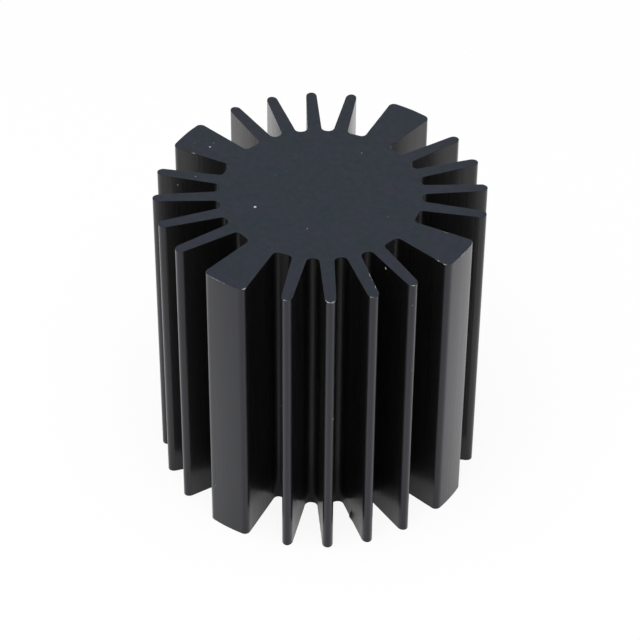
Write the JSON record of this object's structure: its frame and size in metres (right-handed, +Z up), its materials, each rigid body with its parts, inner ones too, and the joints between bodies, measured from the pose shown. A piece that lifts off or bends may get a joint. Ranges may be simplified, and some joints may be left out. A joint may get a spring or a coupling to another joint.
{
  "type": "heat sink",
  "caption": "Round star-shaped extruded heat sink: solid core, groups of thin radial fins parted by thick wedge fins, flat sawn ends, black anodised.",
  "frame": {"origin": "centre of the lower sawn end, on the core's axis", "axes": "+Z up along the extrusion; the thick fins point along +X, +Y, -X and -Y"},
  "size_m": [0.05, 0.05, 0.05],
  "materials": {
    "black_anodised": "black anodised, satin, as extruded on the fins and finely sawn on the ends"
  },
  "bodies": {
    "root": {"heat_sink": "black_anodised"}
  },
  "joints": []
}
